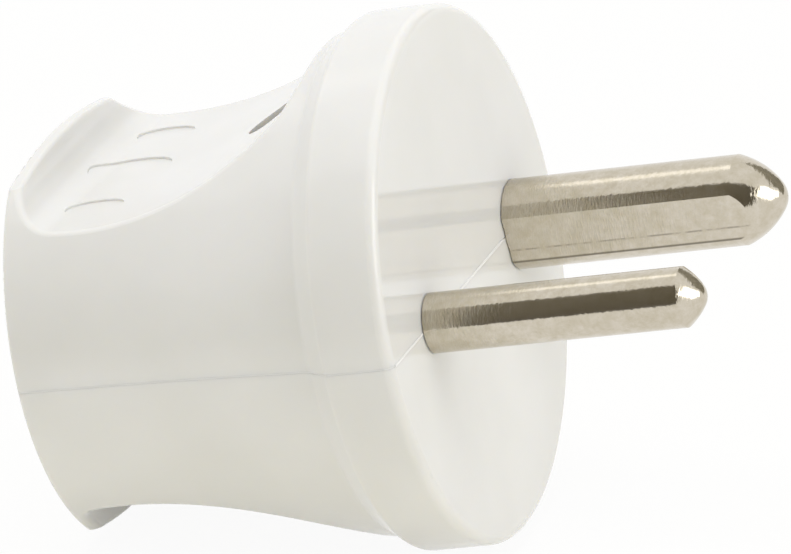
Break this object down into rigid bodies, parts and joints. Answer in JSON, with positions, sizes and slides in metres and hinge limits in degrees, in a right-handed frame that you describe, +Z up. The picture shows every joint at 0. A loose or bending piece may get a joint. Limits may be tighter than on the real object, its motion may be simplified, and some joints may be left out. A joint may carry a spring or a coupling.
{
  "type": "low voltage plug",
  "caption": "White two-part plug housing with scooped finger grips, a round mating face, a thin and a thick round pin, inner screw terminals and a rear cable entry.",
  "frame": {"origin": "middle of the mating face, on the split plane of the two half shells", "axes": "+X runs out along the pins, +Z is up, normal to the split plane, with the housing screw on the upper side; the thin pin is at -Y and the thick pin at +Y"},
  "size_m": [0.0466, 0.036, 0.036],
  "materials": {
    "shell_plastic": "white moulded thermoplastic, satin gloss",
    "pin_plating": "turned brass, nickel plated",
    "screw_steel": "zinc plated steel",
    "clamp_plastic": "white moulded thermoplastic, matt"
  },
  "bodies": {
    "root": {"upper_shell": "shell_plastic", "lower_shell": "shell_plastic", "thin_pin": "pin_plating", "thick_pin": "pin_plating", "terminal_screws": "screw_steel", "housing_screw": "screw_steel", "cord_clamp": "clamp_plastic", "cord_clamp_screws": "screw_steel"}
  },
  "joints": []
}
